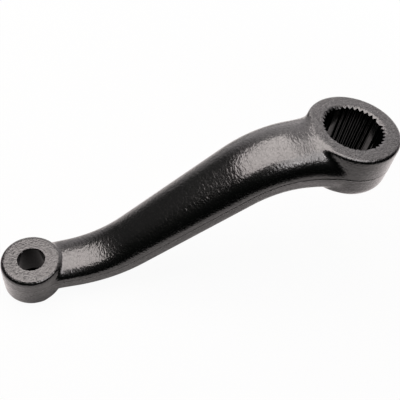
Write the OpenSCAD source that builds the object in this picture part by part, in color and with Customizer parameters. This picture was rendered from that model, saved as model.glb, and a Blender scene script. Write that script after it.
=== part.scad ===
// Drop pitman arm: one drop-forged steel lever with a splined eye for the sector shaft of a
// steering gear, an S-bent arm, and a lower eye with a tapered hole for a drag-link stud.
// The origin is the centre of the large eye's upper face, on the sector shaft's axis.
// +Z runs up that axis. The arm reaches towards -X and steps down to the small eye.

/* [Lever] */
// Distance between the axes of the two eyes, seen from above
centre_distance = 173.4; // [150:0.2:220]
// Step from the large eye's upper face down to the small eye's
drop = 69.5; // [40:0.5:90]

/* [Large eye] */
// Diameter of the upper face's edge
big_top_d = 52.2; // [46:0.2:58]
// Diameter at the parting plane of the forging dies
big_split_d = 52.2; // [48:0.2:60]
// Diameter that the lower wall would have at the lower face without its rounding
big_foot_d = 51.6; // [46:0.2:59]
// Height of the eye
big_h = 28.5; // [26:0.5:36]
// Depth of the parting plane below the upper face
big_split = 14.5; // [11:0.5:17]
// Rounding of the lower edge
big_foot_r = 5.5; // [2:0.5:7]

/* [Small eye] */
// Diameter of the upper face's edge
small_top_d = 32.2; // [28:0.2:36]
// Diameter at the parting plane
small_split_d = 32.2; // [29:0.2:38]
// Diameter that the lower wall would have at the lower face without its rounding
small_foot_d = 31; // [28:0.2:37]
// Height of the eye
small_h = 20.5; // [18:0.5:28]
// Depth of the parting plane below the upper face
small_split = 7.5; // [6:0.5:10]
// Rounding of the lower edge
small_foot_r = 1.5; // [0.5:0.25:3]

/* [Faces] */
// Rounding of the upper edge of both eyes
face_edge_r = 1.6; // [0.5:0.1:2]
// How far the large eye's two faces stand above and below the arm
big_stand = 0.4; // [0.2:0.1:2]

/* [Spline socket] */
// Places for a serration round the bore
spline_places = 36; // [24:4:48]
// Plain lands, each in place of one serration, for setting the arm at quarter turns
spline_blanks = 4; // [0:1:4]
// Diameter across the bottoms of the serrations at the upper face
spline_major_d = 35; // [32:0.1:37]
// Depth of a serration
spline_depth = 1.4; // [0.8:0.1:1.5]
// Narrowing of the diameter per millimetre of depth
spline_taper = 0.06; // [0:0.01:0.08]
// Diameter of the countersink at the upper face
spline_lead_d = 35.6; // [35:0.1:40]
// Diameter of the countersink at the lower face
spline_tail_d = 34; // [33:0.1:37]
// Depth of both countersinks per millimetre of their radius
spline_lead_slope = 0.5; // [0.4:0.05:1]

/* [Stud hole] */
// Diameter of the tapered hole at the small eye's upper face
stud_top_d = 13.8; // [12:0.1:17]
// Widening of the diameter per millimetre of depth
stud_taper = 0.125; // [0.08:0.005:0.17]
// Chamfer at both ends of the hole
stud_chamfer = 0.4; // [0.2:0.1:1]

/* [Arm] */
// Width of the arm where it would reach the large eye's axis
arm_big_w = 42.6; // [36:0.2:46]
// Width of the arm where it would reach the small eye's axis
arm_small_w = 25.4; // [22:0.2:27]
// Height of the arm above the parting plane at the large eye's axis
crown_big = 15.2; // [11:0.1:18]
// Height of the arm above the parting plane at the small eye's axis
crown_small = 5.5; // [4:0.1:6.5]
// Height of the arm below the parting plane at the large eye's axis
belly_big = 13; // [11:0.1:18]
// Height of the arm below the parting plane at the small eye's axis
belly_small = 10.8; // [7:0.1:12]
// Fullness of the section above the parting plane, where 2 is an ellipse
crown_fullness = 2.3; // [2:0.1:3.5]
// Fullness of the section below the parting plane
belly_fullness = 3; // [2:0.1:3.5]
// Flank's widening where it runs into the large eye
big_root = 0.6; // [0.5:0.1:3]
// Flank's widening where it runs into the small eye
small_root = 0.5; // [0.2:0.1:1.2]
// Length of the widening at the large eye
big_root_run = 32; // [10:1:40]
// Length of the widening at the small eye
small_root_run = 13; // [8:0.5:16]

/* [Bends] */
// Distance from the large eye's axis to the corner of the upper bend
bend_from_big = 48.5; // [44:0.5:60]
// Distance from the small eye's axis to the corner of the lower bend
bend_from_small = 39.5; // [36:0.5:50]
// Radius of the upper bend along the parting line
bend_big_r = 54; // [40:1:60]
// Radius of the lower bend along the parting line
bend_small_r = 57; // [40:1:62]

/* [Parting line] */
// Height of the trimmed ridge on the parting line
ridge_h = 0.3; // [0.2:0.1:0.8]
// Half width of the ridge at its root
ridge_half = 0.7; // [0.4:0.1:1]

/* [Hidden] */
$fn = 96;
// How far a cut runs past the face it opens
over = 1;
// Rings and points per ring of the swept arm
arm_rings = 52;
quarter_steps = 9;
// Crowding of the rings towards the two eyes, from 0 to 1
ring_crowding = 0.45;
// Straight steps in a rounded edge
edge_steps = 5;
// Shares of a serration's pitch taken by half a crest land and by half a root land
crest_share = 0.06;
root_share = 0.06;

// The arm's line in the XZ plane: straight, upper bend, slope, lower bend, straight
big_corner = [-bend_from_big, -big_split];
small_corner = [bend_from_small - centre_distance, -drop - small_split];
slope_vector = small_corner - big_corner;
slope = atan2(-slope_vector.y, -slope_vector.x);
big_tangent = bend_big_r * tan(slope / 2);
small_tangent = bend_small_r * tan(slope / 2);
bend_1_start = bend_from_big - big_tangent;
bend_1_end = bend_1_start + bend_big_r * slope * PI / 180;
bend_2_start = bend_1_end + norm(slope_vector) - big_tangent - small_tangent;
bend_2_end = bend_2_start + bend_small_r * slope * PI / 180;
arm_length = bend_2_end + bend_from_small - small_tangent;

function forward(turn) = [-cos(turn), -sin(turn)];
function upward(turn) = [-sin(turn), cos(turn)];
function heading(d) =
    d < bend_1_start ? 0 :
    d < bend_1_end ? (d - bend_1_start) / bend_big_r * 180 / PI :
    d < bend_2_start ? slope :
    d < bend_2_end ? (bend_2_end - d) / bend_small_r * 180 / PI : 0;

bend_1_centre = [-bend_1_start, -big_split - bend_big_r];
slope_start = bend_1_centre + bend_big_r * upward(slope);
slope_end = slope_start + (bend_2_start - bend_1_end) * forward(slope);
bend_2_centre = slope_end + bend_small_r * upward(slope);
function line_point(d) =
    d < bend_1_start ? [-d, -big_split] :
    d < bend_1_end ? bend_1_centre + bend_big_r * upward(heading(d)) :
    d < bend_2_start ? slope_start + (d - bend_1_end) * forward(slope) :
    d < bend_2_end ? bend_2_centre - bend_small_r * upward(heading(d)) :
    bend_2_centre - [d - bend_2_end, bend_small_r];

// The section: a crown above the parting plane and a belly below it, both superellipses
function mix(a, b, share) = a + (b - a) * share;
function swell(gap, run) = gap < 0 ? 1 : gap > run ? 0 : pow(1 - gap / run, 2);
// Distances along the arm at which its flanks pass into the walls of the eyes
function chord_reach(d, half_w) = sqrt(max(0, pow(d / 2, 2) - pow(half_w, 2)));
big_root_at = chord_reach(big_split_d, arm_big_w / 2 + big_root);
small_root_at = arm_length - chord_reach(small_split_d, arm_small_w / 2 + small_root);
function half_width(d) = mix(arm_big_w, arm_small_w, d / arm_length) / 2
    + big_root * swell(d - big_root_at, big_root_run)
    + small_root * swell(small_root_at - d, small_root_run);
function crown(d) = min(mix(crown_big, crown_small, d / arm_length), big_split - big_stand);
function belly(d) = min(mix(belly_big, belly_small, d / arm_length), big_h - big_split - big_stand);
function curve(value, fullness) = sign(value) * pow(abs(value), 2 / fullness);
function section_point(angle, d) =
    let (fullness = sin(angle) >= 0 ? crown_fullness : belly_fullness)
    [half_width(d) * curve(cos(angle), fullness),
     (sin(angle) >= 0 ? crown(d) : belly(d)) * curve(sin(angle), fullness)];

// Half the ring, from the ridge on one flank to just before the ridge on the other
function half_ring(d, start) =
    let (side = start == 0 ? 1 : -1, step = 90 / quarter_steps)
    concat(
        [[side * half_width(d), side * ridge_half]],
        [for (i = [1 : 2 * quarter_steps - 1]) section_point(start + i * step, d)],
        [[-side * half_width(d), side * ridge_half]]);
function ring(d, ridge) =
    concat([[half_width(d) + ridge, 0]], half_ring(d, 0), [[-half_width(d) - ridge, 0]], half_ring(d, 180));

// The ring set in space, square to the arm's line
function placed(d, ridge) =
    let (at = line_point(d), up = upward(heading(d)))
    [for (p = ring(d, ridge)) [at.x + up.x * p.y, p.x, at.y + up.y * p.y]];

module arm() {
    ring_size = 4 * quarter_steps + 4;
    stations = [for (i = [0 : arm_rings])
        let (share = i / arm_rings)
        arm_length * (share - ring_crowding * sin(360 * share) / (2 * PI))];
    points = [for (i = [0 : arm_rings])
        each placed(stations[i], i == 0 || i == arm_rings ? 0 : ridge_h)];
    sides = [for (i = [0 : arm_rings - 1], k = [0 : ring_size - 1])
        let (a = i * ring_size + k, b = i * ring_size + (k + 1) % ring_size)
        each [[a, b, b + ring_size], [a, b + ring_size, a + ring_size]]];
    first_cap = [for (k = [0 : ring_size - 1]) ring_size - 1 - k];
    last_cap = [for (k = [0 : ring_size - 1]) arm_rings * ring_size + k];
    polyhedron(points, concat(sides, [first_cap, last_cap]), convexity = 4);
}

// An eye as forged: drafted walls that meet in the ridge, a crisp upper and a round lower edge
module eye(top_d, split_d, foot_d, h, split, foot_r) {
    function wall(z) = z > -split ? mix(top_d, split_d, -z / split) / 2
        : mix(split_d, foot_d, (-z - split) / (h - split)) / 2;
    upper_edge = [for (i = [0 : edge_steps])
        let (a = 90 - 90 * i / edge_steps)
        [wall(-face_edge_r) - face_edge_r * (1 - cos(a)), face_edge_r * (sin(a) - 1)]];
    lower_edge = [for (i = [0 : edge_steps])
        let (a = 90 * i / edge_steps)
        [wall(foot_r - h) - foot_r * (1 - cos(a)), foot_r * (1 - sin(a)) - h]];
    split_ridge = [[wall(ridge_half - split), ridge_half - split], [wall(-split) + ridge_h, -split],
        [wall(-split - ridge_half), -split - ridge_half]];
    rotate_extrude() polygon(concat([[0, 0]], upper_edge, split_ridge, lower_edge, [[0, -h]]));
}

// Splined socket for the sector shaft, wider at the upper face, with a countersink at each end
module spline_socket() {
    function major_at(z) = (spline_major_d + spline_taper * z) / 2;
    pitch = 360 / spline_places;
    blanks = [for (i = [0 : 1 : spline_blanks - 1]) round(i * spline_places / spline_blanks)];
    major_r = spline_major_d / 2;
    minor_r = major_r - spline_depth;
    mouth = pitch * (0.5 - crest_share);
    root = pitch * root_share;
    foot = -big_h - over;
    outline = [for (i = [0 : spline_places - 1])
        let (middle = (i + 0.5) * pitch, r = len(search(i, blanks)) > 0 ? minor_r : major_r)
        each [for (p = [[minor_r, -mouth], [r, -root], [r, root], [minor_r, mouth]])
            p[0] * [cos(middle + p[1]), sin(middle + p[1])]]];
    translate([0, 0, foot])
        linear_extrude(height = over - foot, scale = major_at(over) / major_at(foot))
            scale(major_at(foot) / major_at(0)) polygon(outline);
    lead_r = spline_lead_d / 2;
    tail_r = spline_tail_d / 2;
    rise = over / spline_lead_slope;
    translate([0, 0, -lead_r * spline_lead_slope])
        cylinder(r1 = 0, r2 = lead_r + rise, h = (lead_r + rise) * spline_lead_slope);
    translate([0, 0, foot])
        cylinder(r1 = tail_r + rise, r2 = 0, h = (tail_r + rise) * spline_lead_slope);
}

// Tapered hole for the drag link's stud, narrow at the upper face where its nut sits
module stud_hole() {
    function stud_r(z) = (stud_top_d - stud_taper * z) / 2;
    translate([0, 0, -small_h - over])
        cylinder(r1 = stud_r(-small_h - over), r2 = stud_r(over), h = small_h + 2 * over);
    translate([0, 0, -stud_chamfer])
        cylinder(r1 = stud_r(0), r2 = stud_r(0) + stud_chamfer + over, h = stud_chamfer + over);
    translate([0, 0, -small_h - over])
        cylinder(r1 = stud_r(-small_h) + stud_chamfer + over, r2 = stud_r(-small_h), h = stud_chamfer + over);
}

module pitman_arm() {
    color([0.13, 0.13, 0.14])
        difference() {
            union() {
                arm();
                eye(big_top_d, big_split_d, big_foot_d, big_h, big_split, big_foot_r);
                translate([-centre_distance, 0, -drop])
                    eye(small_top_d, small_split_d, small_foot_d, small_h, small_split, small_foot_r);
            }
            spline_socket();
            translate([-centre_distance, 0, -drop]) stud_hole();
        }
}

pitman_arm();
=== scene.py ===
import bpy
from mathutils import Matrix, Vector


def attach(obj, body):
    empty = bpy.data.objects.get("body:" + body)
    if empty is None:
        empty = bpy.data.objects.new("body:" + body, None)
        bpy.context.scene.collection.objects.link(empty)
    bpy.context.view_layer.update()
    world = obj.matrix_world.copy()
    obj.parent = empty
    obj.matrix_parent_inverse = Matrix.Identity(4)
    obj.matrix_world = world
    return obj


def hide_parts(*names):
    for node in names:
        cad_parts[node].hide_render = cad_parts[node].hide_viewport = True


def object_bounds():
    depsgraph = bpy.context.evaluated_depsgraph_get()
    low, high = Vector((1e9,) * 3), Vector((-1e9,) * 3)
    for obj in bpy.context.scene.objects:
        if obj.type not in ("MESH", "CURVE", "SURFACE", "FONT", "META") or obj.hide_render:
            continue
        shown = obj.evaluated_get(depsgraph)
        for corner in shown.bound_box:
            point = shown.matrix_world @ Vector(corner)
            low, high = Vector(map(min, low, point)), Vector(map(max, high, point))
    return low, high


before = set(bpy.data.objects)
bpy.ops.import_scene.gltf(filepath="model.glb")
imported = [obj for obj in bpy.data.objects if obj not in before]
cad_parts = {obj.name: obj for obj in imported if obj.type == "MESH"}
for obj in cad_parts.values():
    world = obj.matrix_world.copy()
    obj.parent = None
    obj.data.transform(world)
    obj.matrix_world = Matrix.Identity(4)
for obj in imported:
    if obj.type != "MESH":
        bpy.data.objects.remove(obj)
cad_box = [list(corner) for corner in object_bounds()]

import math

import bpy
import numpy as np
from mathutils import Matrix, Vector


# The photographed view
# The camera stands close above the arm's front left and is rolled, so that the lever runs from the
# lower left of the picture to the upper right.
mm = 0.001
view_azimuth = math.radians(-27.11)
view_elevation = math.radians(48.68)
view_roll = math.radians(12.04)
view_distance = 265 * mm
view_target = Vector((-98.06 * mm, -32.92 * mm, 0))
photo_width = 400
focal_pixels = 586.74
half_pixel = 0.5

away = Vector((math.sin(view_azimuth) * math.cos(view_elevation),
               -math.cos(view_azimuth) * math.cos(view_elevation),
               math.sin(view_elevation)))
level_right = Vector((0, 0, 1)).cross(away).normalized()
level_up = away.cross(level_right)
right = level_right * math.cos(view_roll) + level_up * math.sin(view_roll)
up = level_up * math.cos(view_roll) - level_right * math.sin(view_roll)
turn = Matrix((right, up, away)).transposed().to_4x4()
bpy.ops.object.camera_add()
camera = bpy.context.object
camera.name = "photo_camera"
camera.matrix_world = Matrix.Translation(view_target + away * view_distance) @ turn
camera.data.sensor_width = 36
camera.data.lens = camera.data.sensor_width * focal_pixels / photo_width
camera.data.shift_x = -half_pixel / photo_width
camera.data.shift_y = half_pixel / photo_width
camera.data.clip_start = 5 * mm
bpy.context.scene.camera = camera


# The arm between the eyes
# The lever of the drop forging, a steel bar of rounded section. It runs level out of the large eye, bends
# down a slope and levels out into the small eye, getting narrower and flatter all the way.
centre_distance = 173.4 * mm
drop = 69.5 * mm
big_split = 14.5 * mm
small_split = 7.5 * mm
bend_from_big = 48.5 * mm
bend_from_small = 39.5 * mm
bend_big_r = 54 * mm
bend_small_r = 57 * mm
arm_half_w = (21.3 * mm, 12.7 * mm)
arm_crown = (15.2 * mm, 5.5 * mm)
arm_belly = (13 * mm, 10.8 * mm)
crown_limit = 14.1 * mm
crown_fullness = 2.3
belly_fullness = 3
root_swell = (2.4 * mm, 0.5 * mm)
root_start = (14 * mm, 8.9 * mm)
root_run = (17 * mm, 13 * mm)
points_round = 96
rings_along = 140
seam_gap = 0.001 * mm

big_corner = Vector((-bend_from_big, -big_split))
small_corner = Vector((bend_from_small - centre_distance, -drop - small_split))
slope_run = small_corner - big_corner
slope = math.atan2(-slope_run.y, -slope_run.x)
big_tangent = bend_big_r * math.tan(slope / 2)
small_tangent = bend_small_r * math.tan(slope / 2)
bend_1_start = bend_from_big - big_tangent
bend_1_end = bend_1_start + bend_big_r * slope
bend_2_start = bend_1_end + slope_run.length - big_tangent - small_tangent
bend_2_end = bend_2_start + bend_small_r * slope
arm_length = bend_2_end + bend_from_small - small_tangent


def upward(heading):
    return Vector((-math.sin(heading), math.cos(heading)))


def heading_at(d):
    if d < bend_1_start or d > bend_2_end:
        return 0
    if d < bend_1_end:
        return (d - bend_1_start) / bend_big_r
    if d < bend_2_start:
        return slope
    return (bend_2_end - d) / bend_small_r


def line_at(d):
    bend_1_centre = Vector((-bend_1_start, -big_split - bend_big_r))
    slope_start = bend_1_centre + bend_big_r * upward(slope)
    slope_way = Vector((-math.cos(slope), -math.sin(slope)))
    bend_2_centre = slope_start + (bend_2_start - bend_1_end) * slope_way + bend_small_r * upward(slope)
    if d < bend_1_start:
        return Vector((-d, -big_split))
    if d < bend_1_end:
        return bend_1_centre + bend_big_r * upward(heading_at(d))
    if d < bend_2_start:
        return slope_start + (d - bend_1_end) * slope_way
    if d < bend_2_end:
        return bend_2_centre - bend_small_r * upward(heading_at(d))
    return bend_2_centre - Vector((d - bend_2_end, bend_small_r))


def taper(ends, along):
    return ends[0] + (ends[1] - ends[0]) * along


def half_width(d):
    width = taper(arm_half_w, d / arm_length)
    for gap, swell, start, run in zip((d, arm_length - d), root_swell, root_start, root_run):
        width += swell * (1 - min(max((gap - start) / run, 0), 1)) ** 2
    return width


def full_curve(value, fullness):
    return math.copysign(abs(value) ** (2 / fullness), value)


bpy.ops.object.select_all(action="DESELECT")
bpy.ops.mesh.primitive_grid_add(x_subdivisions=points_round, y_subdivisions=rings_along, size=1)
arm = bpy.context.object
arm.name = "forging"
for vertex in arm.data.vertices:
    round_angle = 2 * math.pi * (vertex.co.x + 0.5)
    along = vertex.co.y + 0.5
    d = along * arm_length
    if math.sin(round_angle) >= 0:
        rise = min(taper(arm_crown, along), crown_limit)
        fullness = crown_fullness
    else:
        rise = taper(arm_belly, along)
        fullness = belly_fullness
    across = half_width(d) * full_curve(math.cos(round_angle), fullness)
    point = line_at(d) + upward(heading_at(d)) * rise * full_curve(math.sin(round_angle), fullness)
    vertex.co = (point.x, across, point.y)
bpy.ops.object.mode_set(mode="EDIT")
bpy.ops.mesh.select_all(action="SELECT")
bpy.ops.mesh.remove_doubles(threshold=seam_gap)
bpy.ops.mesh.select_all(action="SELECT")
bpy.ops.mesh.fill_holes(sides=0)
bpy.ops.mesh.select_all(action="SELECT")
bpy.ops.mesh.normals_make_consistent(inside=False)
bpy.ops.object.mode_set(mode="OBJECT")


# The two eyes as forged
# Short round steel bosses with draft on their walls above and below the parting line. The upper
# edges are lightly rounded, and the lower edge of the large eye is well rounded.
big_h = 28.5 * mm
big_radii = (26.1 * mm, 26.1 * mm, 25.8 * mm)
big_edge_round = 1.6 * mm
big_foot_round = 5.5 * mm
small_h = 20.5 * mm
small_radii = (16.1 * mm, 16.1 * mm, 15.5 * mm)
small_edge_round = 2.3 * mm
small_foot_round = 1.5 * mm
eye_sides = 160
edge_steps = 4
foot_steps = 10
ring_gap = 0.05 * mm


def select_ring(piece, level):
    for edge in piece.data.edges:
        ends = [piece.data.vertices[i].co for i in edge.vertices]
        edge.select = all(abs(end.z - level) < ring_gap for end in ends)
    for vertex in piece.data.vertices:
        vertex.select = abs(vertex.co.z - level) < ring_gap


def forge_eye(name, x, top, height, split, radii, edge_round, foot_round):
    top_r, split_r, foot_r = radii
    bpy.ops.object.select_all(action="DESELECT")
    bpy.ops.mesh.primitive_cylinder_add(vertices=eye_sides, radius=split_r, depth=height,
                                        location=(x, 0, top - height / 2))
    eye = bpy.context.object
    eye.name = name
    bpy.ops.object.transform_apply(location=True, rotation=True, scale=True)
    bpy.ops.object.mode_set(mode="EDIT")
    bpy.ops.mesh.select_mode(type="VERT")
    bpy.ops.mesh.select_all(action="SELECT")
    bpy.ops.mesh.bisect(plane_co=(x, 0, top - split), plane_no=(0, 0, 1))
    for level, radius in ((top, top_r), (top - height, foot_r)):
        bpy.ops.mesh.select_all(action="DESELECT")
        bpy.ops.object.mode_set(mode="OBJECT")
        select_ring(eye, level)
        bpy.ops.object.mode_set(mode="EDIT")
        ratio = radius / split_r
        bpy.ops.transform.resize(value=(ratio, ratio, 1), center_override=(x, 0, level))
    bpy.ops.mesh.select_mode(type="EDGE")
    for level, rounding, steps in ((top, edge_round, edge_steps), (top - height, foot_round, foot_steps)):
        bpy.ops.mesh.select_all(action="DESELECT")
        bpy.ops.object.mode_set(mode="OBJECT")
        select_ring(eye, level)
        bpy.ops.object.mode_set(mode="EDIT")
        bpy.ops.mesh.bevel(offset=rounding, segments=steps, affect="EDGES")
    bpy.ops.object.mode_set(mode="OBJECT")
    return eye


big_eye = forge_eye("big_eye", x=0, top=0, height=big_h, split=big_split, radii=big_radii,
                    edge_round=big_edge_round, foot_round=big_foot_round)
small_eye = forge_eye("small_eye", x=-centre_distance, top=-drop, height=small_h, split=small_split,
                      radii=small_radii, edge_round=small_edge_round, foot_round=small_foot_round)


# One forging of the three
# The arm and the eyes are one piece of steel, so they are joined, skinned afresh with an even mesh and
# worn smooth, most of all in the roots where the arm runs into an eye.
skin_grid = 0.6 * mm
skin_passes = 3
wear = 0.5
big_root_r = 26 * mm
big_root_reach = 8 * mm
big_root_passes = 60
small_root_r = 16 * mm
small_root_reach = 6 * mm
small_root_passes = 40
root_core = 0.3
root_side = (0.2, 0.5)
root_depth = (0.6 * mm, 2.5 * mm)
crown_start = (23 * mm, 25 * mm)
crown_end = (34 * mm, 42 * mm)
crown_side = (9 * mm, 15 * mm)
crown_level = (-8 * mm, -4 * mm)
crown_passes = 250


def apply_modifier(piece, kind, **settings):
    bpy.ops.object.select_all(action="DESELECT")
    piece.select_set(True)
    bpy.context.view_layer.objects.active = piece
    modifier = piece.modifiers.new(kind.title(), kind)
    for key, value in settings.items():
        setattr(modifier, key, value)
    bpy.ops.object.modifier_apply(modifier=modifier.name)


def apply_boolean(piece, tool, operation):
    apply_modifier(piece, "BOOLEAN", object=tool, operation=operation, solver="EXACT")
    bpy.data.objects.remove(tool)


def fade(value, low, high):
    rise = np.clip((value - low) / (high - low), 0, 1)
    return rise * rise * (3 - 2 * rise)


def points_of(piece):
    return np.array([vertex.co for vertex in piece.data.vertices])


def soften(piece, weights, passes):
    group = piece.vertex_groups.new(name="root")
    for index in np.nonzero(weights > 0)[0]:
        group.add([int(index)], float(weights[index]), "REPLACE")
    apply_modifier(piece, "SMOOTH", factor=wear, iterations=passes, vertex_group="root")
    piece.vertex_groups.remove(piece.vertex_groups["root"])


def soften_root(piece, x, top, wall_r, reach, towards, passes):
    points = points_of(piece)
    out = np.hypot(points[:, 0] - x, points[:, 1])
    side = (points[:, 0] - x) * towards / np.maximum(out, mm)
    weights = (1 - fade(np.abs(out - wall_r), root_core * reach, reach)) * fade(side, *root_side)
    weights *= fade(top - points[:, 2], *root_depth)
    soften(piece, weights, passes)


apply_boolean(arm, big_eye, "UNION")
apply_boolean(arm, small_eye, "UNION")
apply_modifier(arm, "REMESH", mode="VOXEL", voxel_size=skin_grid, use_smooth_shade=True)
apply_modifier(arm, "SMOOTH", factor=wear, iterations=skin_passes)
soften_root(arm, x=0, top=0, wall_r=big_root_r, reach=big_root_reach, towards=-1, passes=big_root_passes)
soften_root(arm, x=-centre_distance, top=-drop, wall_r=small_root_r, reach=small_root_reach, towards=1,
            passes=small_root_passes)
crown = points_of(arm)
crown_out = np.hypot(crown[:, 0], crown[:, 1])
flush = fade(crown_out, *crown_start) * (1 - fade(crown_out, *crown_end)) * (crown[:, 0] < 0)
flush *= (1 - fade(np.abs(crown[:, 1]), *crown_side)) * fade(crown[:, 2], *crown_level)
soften(arm, flush, crown_passes)


# The splined socket
# A broached bore of fine tapered serrations, with a plain land at each quarter turn, and a
# countersink at both faces that trims the tooth ends.
spline_places = 36
blank_every = 9
spline_major_r = 17.3 * mm
spline_minor_r = 16.1 * mm
spline_taper = 0.06
crest_share = 0.06
root_share = 0.06
points_per_place = 4
overrun = 1 * mm
rim_sides = 144
upper_sink_r = 18.1 * mm
lower_sink_r = 17 * mm
sink_run = 2.6 * mm
sink_depth = 1.3 * mm

bpy.ops.object.select_all(action="DESELECT")
bpy.ops.mesh.primitive_circle_add(vertices=points_per_place * spline_places, radius=1, fill_type="NGON")
broach = bpy.context.object
pitch = 2 * math.pi / spline_places
mouth_turn = pitch * (0.5 - crest_share)
root_turn = pitch * root_share
for index, vertex in enumerate(broach.data.vertices):
    place, corner = divmod(index, points_per_place)
    deep = spline_minor_r if place % blank_every == 0 else spline_major_r
    radius = (spline_minor_r, deep, deep, spline_minor_r)[corner]
    angle = (place + 0.5) * pitch + (-mouth_turn, -root_turn, root_turn, mouth_turn)[corner]
    vertex.co = (radius * math.cos(angle), radius * math.sin(angle), 0)
bpy.ops.object.mode_set(mode="EDIT")
bpy.ops.mesh.select_all(action="SELECT")
foot_ratio = 1 - spline_taper * (big_h + overrun) / (2 * spline_major_r)
bpy.ops.mesh.extrude_region_move(TRANSFORM_OT_translate={"value": (0, 0, -big_h - overrun)})
bpy.ops.transform.resize(value=(foot_ratio, foot_ratio, 1), center_override=(0, 0, -big_h - overrun))
bpy.ops.mesh.select_all(action="DESELECT")
bpy.ops.object.mode_set(mode="OBJECT")
for face in broach.data.polygons:
    face.select = len(face.vertices) > 4 and face.center.z > -overrun
bpy.ops.object.mode_set(mode="EDIT")
bpy.ops.mesh.extrude_region_move(TRANSFORM_OT_translate={"value": (0, 0, overrun)})
bpy.ops.mesh.select_all(action="SELECT")
bpy.ops.mesh.normals_make_consistent(inside=False)
bpy.ops.object.mode_set(mode="OBJECT")
apply_boolean(arm, broach, "DIFFERENCE")


def countersink(piece, x, level, radius, run, depth, way):
    bpy.ops.object.select_all(action="DESELECT")
    bpy.ops.mesh.primitive_cone_add(vertices=rim_sides, radius1=radius - run,
                                    radius2=radius + overrun * run / depth, depth=depth + overrun,
                                    location=(x, 0, level + way * (overrun - depth) / 2),
                                    rotation=(0 if way > 0 else math.pi, 0, 0))
    bpy.ops.object.transform_apply(location=True, rotation=True, scale=True)
    apply_boolean(piece, bpy.context.object, "DIFFERENCE")


countersink(arm, x=0, level=0, radius=upper_sink_r, run=sink_run, depth=sink_depth, way=1)
countersink(arm, x=0, level=-big_h, radius=lower_sink_r, run=sink_run, depth=sink_depth, way=-1)


# The stud hole
# A reamed taper through the small eye, narrow at the upper face where the stud's nut sits, with its two
# edges broken by a small chamfer. Hair-fine slivers that the cuts leave are merged away.
stud_top_r = 6.9 * mm
stud_taper = 0.125
stud_foot_r = stud_top_r + small_h * stud_taper / 2
stud_chamfer = 0.4 * mm
sliver = 0.03 * mm

grow = overrun * stud_taper / 2
bpy.ops.object.select_all(action="DESELECT")
bpy.ops.mesh.primitive_cone_add(vertices=rim_sides, radius1=stud_foot_r + grow, radius2=stud_top_r - grow,
                                depth=small_h + 2 * overrun,
                                location=(-centre_distance, 0, -drop - small_h / 2))
bpy.ops.object.transform_apply(location=True, rotation=True, scale=True)
apply_boolean(arm, bpy.context.object, "DIFFERENCE")
for level, radius, way in ((-drop, stud_top_r, 1), (-drop - small_h, stud_foot_r, -1)):
    countersink(arm, -centre_distance, level, radius + stud_chamfer, stud_chamfer, stud_chamfer, way)
bpy.ops.object.mode_set(mode="EDIT")
bpy.ops.mesh.select_all(action="SELECT")
bpy.ops.mesh.remove_doubles(threshold=sliver)
bpy.ops.object.mode_set(mode="OBJECT")


# The skin of the forging
# The trimmed flash left a fine ridge along the parting line, worn away around the small eye. The upper
# faces of the eyes and the two holes are machined. The mesh notes all this for the paint to follow, and
# marks the hole walls for a painted shade.
line_stations = 700
block = 20000
ridge_wear = 0.35 * mm
ridge_worn = (17 * mm, 22 * mm)
flat = 0.15 * mm
big_face_r = 25 * mm
small_face_r = 15 * mm
upright = 0.5
crease_angle = math.radians(35)
# for each hole its axis, its reach, the turn at which a wall is a tooth's flank, and how thin its paint
# is, which also sets the painted shade on its wall
socket_wall = (0, 17.6 * mm, 0.9, 0.48)
stud_wall = (-centre_distance, 9 * mm, -1, 0.72)

points = points_of(arm)
stations = np.linspace(0, arm_length, line_stations).tolist()
line = np.array([line_at(d) for d in stations])
lift = np.array([upward(heading_at(d)) for d in stations])
nearest = np.zeros(len(points), int)
for start in range(0, len(points), block):
    gaps = points[start:start + block][:, None, (0, 2)] - line[None, :, :]
    nearest[start:start + block] = np.argmin((gaps ** 2).sum(2), axis=1)
split_height = ((points[:, (0, 2)] - line[nearest]) * lift[nearest]).sum(1)
big_out = np.hypot(points[:, 0], points[:, 1])
small_out = np.hypot(points[:, 0] + centre_distance, points[:, 1])
split_height = np.hypot(split_height, ridge_wear * (1 - fade(small_out, *ridge_worn)))
on_big = (np.abs(points[:, 2]) < flat) & (big_out < big_face_r)
on_small = (np.abs(points[:, 2] + drop) < flat) & (small_out < small_face_r)
# Hole walls are marked for thin paint and a painted shade. A tooth's flank is marked to lose all its
# gloss.
bored_faces = []
thin_and_shaded_faces = []
for face in arm.data.polygons:
    in_hole = 0
    thinness_and_shade = 0
    for x, reach, flank_turn, wall_thinness_and_shade in (socket_wall, stud_wall):
        radial = Vector((face.center.x - x, face.center.y, 0))
        if radial.length < reach and abs(face.normal.z) < upright:
            inward = -face.normal.dot(radial.normalized())
            in_hole = 1
            thinness_and_shade = 1 if inward < flank_turn else wall_thinness_and_shade
            break
    bored_faces.append(in_hole)
    thin_and_shaded_faces.append(thinness_and_shade)


def note(name, domain, values):
    attribute = arm.data.attributes.new(name, "FLOAT", domain)
    attribute.data.foreach_set("value", np.array(values, np.float32))


note("split_height", "POINT", split_height / mm)
note("machined", "POINT", on_big | on_small)
note("bored", "FACE", bored_faces)
note("thin_paint_and_shade", "FACE", thin_and_shaded_faces)

bpy.ops.object.select_all(action="DESELECT")
arm.select_set(True)
bpy.context.view_layer.objects.active = arm
bpy.ops.object.shade_smooth_by_angle(angle=crease_angle)
arm.name = "forged_arm"
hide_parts("pitman_arm")
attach(arm, "root")


# The black paint
# A thick gloss enamel sprayed over the forged skin. It shows the shallow hammered texture of the
# forging, lies finer on the machined faces, and hardly reaches into the two holes, where its gloss is
# cut down as a painted shade that keeps them dark and the tooth flanks black.
even = (1, 1, 1)
along_arm = (1, 0.5, 1)
crease_scale = 520
crease_height = 2
hammer_scale = 900
hammer_height = 0.5
mottle_scale = 1000
pit_scale = 480
pit_level = 0.65
speckle_scale = 1300
speckle_height = 1.6
ridge_falloff = -9
ridge_height = 1.2
relief_depth = 0.2 * mm
wrinkle_width = 0.025
full_gloss = 1.5
mottle_dulling = 1.1
wrinkle_dulling = 0.45
pit_dulling = 0.5
paint_ior = 1.55
bare_and_shaded_ior_drop = 0.55

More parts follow.
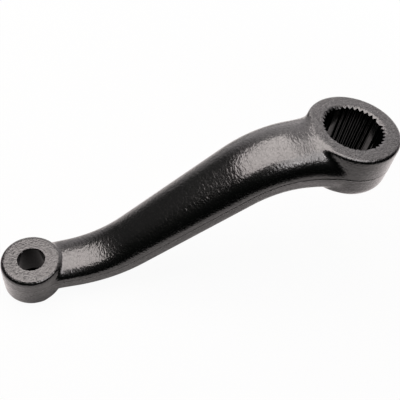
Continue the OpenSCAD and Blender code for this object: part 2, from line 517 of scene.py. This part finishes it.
paint = bpy.data.materials.new("black_paint")
paint.use_nodes = True
nodes = paint.node_tree.nodes
links = paint.node_tree.links
shader = nodes["Principled BSDF"]
shader.inputs["Base Color"].default_value = (0.0011, 0.0017, 0.0015, 1)
shader.inputs["Roughness"].default_value = 0.26
shader.inputs["Coat Roughness"].default_value = 0.14
shader.inputs["Coat IOR"].default_value = 1.5
object_place = nodes.new("ShaderNodeTexCoord").outputs["Object"]


def noted(name):
    attribute = nodes.new("ShaderNodeAttribute")
    attribute.attribute_name = name
    return attribute.outputs["Fac"]


def reckon(operation, first, second):
    math_node = nodes.new("ShaderNodeMath")
    math_node.operation = operation
    for socket, value in zip(math_node.inputs, (first, second)):
        if isinstance(value, (int, float)):
            socket.default_value = value
        else:
            links.new(value, socket)
    return math_node.outputs[0]


def noise(stretch, scale):
    mapping = nodes.new("ShaderNodeMapping")
    mapping.inputs["Scale"].default_value = stretch
    links.new(object_place, mapping.inputs["Vector"])
    texture = nodes.new("ShaderNodeTexNoise")
    texture.inputs["Scale"].default_value = scale
    texture.inputs["Detail"].default_value = 1
    texture.inputs["Roughness"].default_value = 0.5
    links.new(mapping.outputs["Vector"], texture.inputs["Vector"])
    return texture.outputs["Fac"]


machined = noted("machined")
split = noted("split_height")
paint_thinning_and_shade = noted("thin_paint_and_shade")
not_bored = reckon("SUBTRACT", 1, noted("bored"))
skin = reckon("SUBTRACT", 1, machined)
crease = reckon("ABSOLUTE", reckon("SUBTRACT", noise(along_arm, crease_scale), 0.5), 0)
hammered = reckon("ADD", noise(along_arm, hammer_scale), reckon("MULTIPLY", crease, crease_height))
hammered = reckon("MULTIPLY", hammered, reckon("MULTIPLY", skin, hammer_height))
pit = reckon("GREATER_THAN", noise(even, pit_scale), pit_level)
speckle = reckon("MULTIPLY", noise(even, speckle_scale), speckle_height)
grain = reckon("MULTIPLY", reckon("SUBTRACT", speckle, pit), machined)
ridge = reckon("EXPONENT", reckon("MULTIPLY", reckon("MULTIPLY", split, split), ridge_falloff), 0)
relief = reckon("ADD", reckon("ADD", hammered, grain), reckon("MULTIPLY", ridge, ridge_height))
relief = reckon("MULTIPLY", relief, not_bored)
bump = nodes.new("ShaderNodeBump")
bump.inputs["Strength"].default_value = 1
bump.inputs["Distance"].default_value = relief_depth
links.new(relief, bump.inputs["Height"])
links.new(bump.outputs["Normal"], shader.inputs["Normal"])
links.new(bump.outputs["Normal"], shader.inputs["Coat Normal"])
wrinkle = reckon("MULTIPLY", reckon("LESS_THAN", crease, wrinkle_width), skin)
mottle = noise(even, mottle_scale)
gloss = reckon("SUBTRACT", full_gloss, reckon("MULTIPLY", mottle, mottle_dulling))
gloss = reckon("SUBTRACT", gloss, reckon("MULTIPLY", wrinkle, wrinkle_dulling))
gloss = reckon("SUBTRACT", gloss, reckon("MULTIPLY", reckon("MULTIPLY", pit, machined), pit_dulling))
# The coat and the IOR drop where the paint is thin in the holes, a painted shade: the tooth flanks keep no
# gloss and show black.
links.new(reckon("MULTIPLY", gloss, reckon("SUBTRACT", 1, paint_thinning_and_shade)), shader.inputs["Coat Weight"])
links.new(reckon("SUBTRACT", paint_ior, reckon("MULTIPLY", paint_thinning_and_shade, bare_and_shaded_ior_drop)), shader.inputs["IOR"])
arm.data.materials.clear()
arm.data.materials.append(paint)


# The table
# A wide white table under the arm. The camera sees it plain white with a faint shadow. The gloss sees its
# glow, tinted warm like the lamps, white beside the arm and cut to grey around it, a painted shade. Inside
# the stud hole, where no light comes, it is painted black, a painted shadow.
table_z = cad_box[0][2]
table_size = 8
table_grey = 0.66
gloss_tint = (1, 0.92, 0.91, 1)

bpy.ops.object.select_all(action="DESELECT")
bpy.ops.mesh.primitive_plane_add(size=table_size, location=(0, 0, table_z))
table = bpy.context.object
table.name = "table"
bpy.ops.object.transform_apply(location=True, rotation=True, scale=True)
white = bpy.data.materials.new("white_table")
white.use_nodes = True
table_tree = white.node_tree
table_base = table_tree.nodes["Principled BSDF"]
table_base.inputs["Roughness"].default_value = 0.8
table_base.inputs["Specular IOR Level"].default_value = 0
table_glow = table_tree.nodes.new("ShaderNodeEmission")
table_ray = table_tree.nodes.new("ShaderNodeLightPath")
table_place = table_tree.nodes.new("ShaderNodeTexCoord")
tint = table_tree.nodes.new("ShaderNodeMix")
tint.data_type = "RGBA"
tint.inputs["A"].default_value = (1, 1, 1, 1)
tint.inputs["B"].default_value = gloss_tint
table_tree.links.new(table_ray.outputs["Is Glossy Ray"], tint.inputs["Factor"])
table_tree.links.new(tint.outputs["Result"], table_glow.inputs["Color"])


def join(tree, operation, first, second):
    math_node = tree.nodes.new("ShaderNodeMath")
    math_node.operation = operation
    tree.links.new(first, math_node.inputs[0])
    tree.links.new(second, math_node.inputs[1])
    return math_node.outputs[0]


def patch(centre, stretch, reach, strength):
    scaled = table_tree.nodes.new("ShaderNodeVectorMath")
    scaled.operation = "MULTIPLY"
    scaled.inputs[1].default_value = stretch
    table_tree.links.new(table_place.outputs["Object"], scaled.inputs[0])
    gap = table_tree.nodes.new("ShaderNodeVectorMath")
    gap.operation = "DISTANCE"
    gap.inputs[1].default_value = [part * factor for part, factor in zip(centre, stretch)]
    table_tree.links.new(scaled.outputs["Vector"], gap.inputs[0])
    ramp = table_tree.nodes.new("ShaderNodeMapRange")
    ramp.inputs["From Min"].default_value, ramp.inputs["From Max"].default_value = reach
    ramp.inputs["To Min"].default_value, ramp.inputs["To Max"].default_value = strength
    table_tree.links.new(gap.outputs["Value"], ramp.inputs["Value"])
    return ramp.outputs["Result"]


# Painted shade in the reflections: the gloss sees less glow around the arm and far before and behind it.
clear_of_arm = patch(centre=(-80 * mm, -20 * mm, 0), stretch=(1, 2.2, 0),
                     reach=(95 * mm, 120 * mm), strength=(0.1, 1))
beside_arm = patch(centre=(0, 20 * mm, 0), stretch=(0, 1, 0),
                   reach=(85 * mm, 140 * mm), strength=(1, 0.15))
shadow_room = patch(centre=(-80 * mm, 0, 0), stretch=(1, 1, 0),
                    reach=(180 * mm, 380 * mm), strength=(0.95, 1))
# Painted shadow under the small eye: there the table's colour is black and its glow is cut.
in_eye = {"centre": (-centre_distance, 0, 0), "stretch": (1, 1, 0), "reach": (11 * mm, 14 * mm)}
open_air = patch(**in_eye, strength=(0, 1))
open_gloss = patch(**in_eye, strength=(0.55, 1))
table_tree.links.new(patch(**in_eye, strength=(0, table_grey)), table_base.inputs["Base Color"])
shaded_gloss = join(table_tree, "MULTIPLY", clear_of_arm, beside_arm)
in_gloss = join(table_tree, "MULTIPLY", table_ray.outputs["Is Glossy Ray"], shaded_gloss)
in_gloss = join(table_tree, "MULTIPLY", in_gloss, open_gloss)
shaded_view = join(table_tree, "MULTIPLY", shadow_room, open_air)
in_view = join(table_tree, "MULTIPLY", table_ray.outputs["Is Camera Ray"], shaded_view)
seen = join(table_tree, "MAXIMUM", in_gloss, in_view)
seen = join(table_tree, "MAXIMUM", seen, table_ray.outputs["Is Transmission Ray"])
blend = table_tree.nodes.new("ShaderNodeMixShader")
table_tree.links.new(seen, blend.inputs["Fac"])
table_tree.links.new(table_base.outputs["BSDF"], blend.inputs[1])
table_tree.links.new(table_glow.outputs["Emission"], blend.inputs[2])
table_tree.links.new(blend.outputs["Shader"], table_tree.nodes["Material Output"].inputs["Surface"])
table.data.materials.append(white)


# The room
# A dark studio that only the gloss of the paint can see, a painted reflection: black cloth before the
# table and on the left, and a pale backdrop behind. It gives no light and casts no shadow.
room_r = 2.5
room_centre = (-0.08, 0, table_z)
backdrop_way = (0.5, 0.866, 0)
backdrop_span = (1.1, 1.95)
backdrop_colour = (1, 0.93, 0.94, 1)
haze_span = 1
haze = 0.08
apron_size = (4, 2, 1)
apron_place = (0, -1.165, table_z + 1 * mm)
cloth_black = (0.003, 0.003, 0.003, 1)


def hide_room(piece):
    piece.visible_camera = False
    piece.visible_diffuse = False
    piece.visible_shadow = False
    piece.visible_transmission = False


bpy.ops.object.select_all(action="DESELECT")
bpy.ops.mesh.primitive_uv_sphere_add(segments=48, ring_count=24, radius=room_r, location=room_centre)
room = bpy.context.object
room.name = "room"
bpy.ops.object.transform_apply(location=True, rotation=True, scale=True)
hide_room(room)
walls = bpy.data.materials.new("room_walls")
walls.use_nodes = True
room_tree = walls.node_tree
room_tree.nodes.remove(room_tree.nodes["Principled BSDF"])
room_place = room_tree.nodes.new("ShaderNodeTexCoord")
backward = room_tree.nodes.new("ShaderNodeVectorMath")
backward.operation = "DOT_PRODUCT"
backward.inputs[1].default_value = backdrop_way
room_tree.links.new(room_place.outputs["Object"], backward.inputs[0])
backdrop = room_tree.nodes.new("ShaderNodeMapRange")
backdrop.inputs["From Min"].default_value, backdrop.inputs["From Max"].default_value = backdrop_span
room_tree.links.new(backward.outputs["Value"], backdrop.inputs["Value"])
room_parts = room_tree.nodes.new("ShaderNodeSeparateXYZ")
room_tree.links.new(room_place.outputs["Object"], room_parts.inputs["Vector"])
far_side = room_tree.nodes.new("ShaderNodeMapRange")
far_side.inputs["From Max"].default_value = haze_span
far_side.inputs["To Max"].default_value = haze
room_tree.links.new(room_parts.outputs["Y"], far_side.inputs["Value"])
room_glow = room_tree.nodes.new("ShaderNodeEmission")
room_glow.inputs["Color"].default_value = backdrop_colour
room_shine = join(room_tree, "ADD", backdrop.outputs["Result"], far_side.outputs["Result"])
room_tree.links.new(room_shine, room_glow.inputs["Strength"])
room_tree.links.new(room_glow.outputs["Emission"], room_tree.nodes["Material Output"].inputs["Surface"])
room.data.materials.append(walls)

# The black apron is a painted dark reflection, seen only in the gloss before the table.
bpy.ops.object.select_all(action="DESELECT")
bpy.ops.mesh.primitive_plane_add(size=1, location=apron_place)
apron = bpy.context.object
apron.name = "black_apron"
apron.scale = apron_size
bpy.ops.object.transform_apply(location=True, rotation=True, scale=True)
hide_room(apron)
cloth = bpy.data.materials.new("black_cloth")
cloth.use_nodes = True
cloth_shader = cloth.node_tree.nodes["Principled BSDF"]
cloth_shader.inputs["Base Color"].default_value = cloth_black
cloth_shader.inputs["Specular IOR Level"].default_value = 0
apron.data.materials.append(cloth)


# The lamps
# One large softbox hangs over the arm, a little behind it, and lights it. Three smaller lamps are seen by
# the gloss alone. The world is dim on the arm, and white to the camera, the gloss and clear things.
dim_world = 0.15


def hang_lamp(name, place, width, length, power, colour):
    bpy.ops.object.light_add(type="AREA", location=place)
    lamp = bpy.context.object
    lamp.name = name
    lamp.data.shape = "RECTANGLE"
    lamp.data.size = width
    lamp.data.size_y = length
    lamp.data.energy = power
    lamp.data.color = colour
    return lamp


hang_lamp("softbox", place=(-0.19, 0.19, 0.5), width=0.66, length=0.61, power=5.95,
          colour=(1, 0.92, 0.895))
front = hang_lamp("front_softbox", place=(0.10, -0.21, 0.5), width=0.40, length=0.38, power=1.8,
                  colour=(1, 0.95, 0.95))
beside = hang_lamp("side_softbox", place=(0.20, 0.15, 0.5), width=0.12, length=0.36, power=0.3,
                   colour=(1, 0.93, 0.91))
glint = hang_lamp("glint_lamp", place=(0.045, -0.32, 0.495), width=0.12, length=0.10, power=0.16,
                  colour=(1, 1, 1))
for lamp in (front, beside, glint):
    lamp.visible_diffuse = False

world = bpy.data.worlds.new("studio")
bpy.context.scene.world = world
world.use_nodes = True
world_tree = world.node_tree
sky = world_tree.nodes["Background"]
sky.inputs["Color"].default_value = (1, 1, 1, 1)
world_ray = world_tree.nodes.new("ShaderNodeLightPath")
white_rays = join(world_tree, "MAXIMUM", world_ray.outputs["Is Glossy Ray"],
                  world_ray.outputs["Is Transmission Ray"])
white_rays = join(world_tree, "MAXIMUM", world_ray.outputs["Is Camera Ray"], white_rays)
shine = world_tree.nodes.new("ShaderNodeMapRange")
shine.inputs["To Min"].default_value = dim_world
shine.inputs["To Max"].default_value = 1
world_tree.links.new(white_rays, shine.inputs["Value"])
world_tree.links.new(shine.outputs["Result"], sky.inputs["Strength"])
bpy.context.scene.view_settings.view_transform = "Standard"
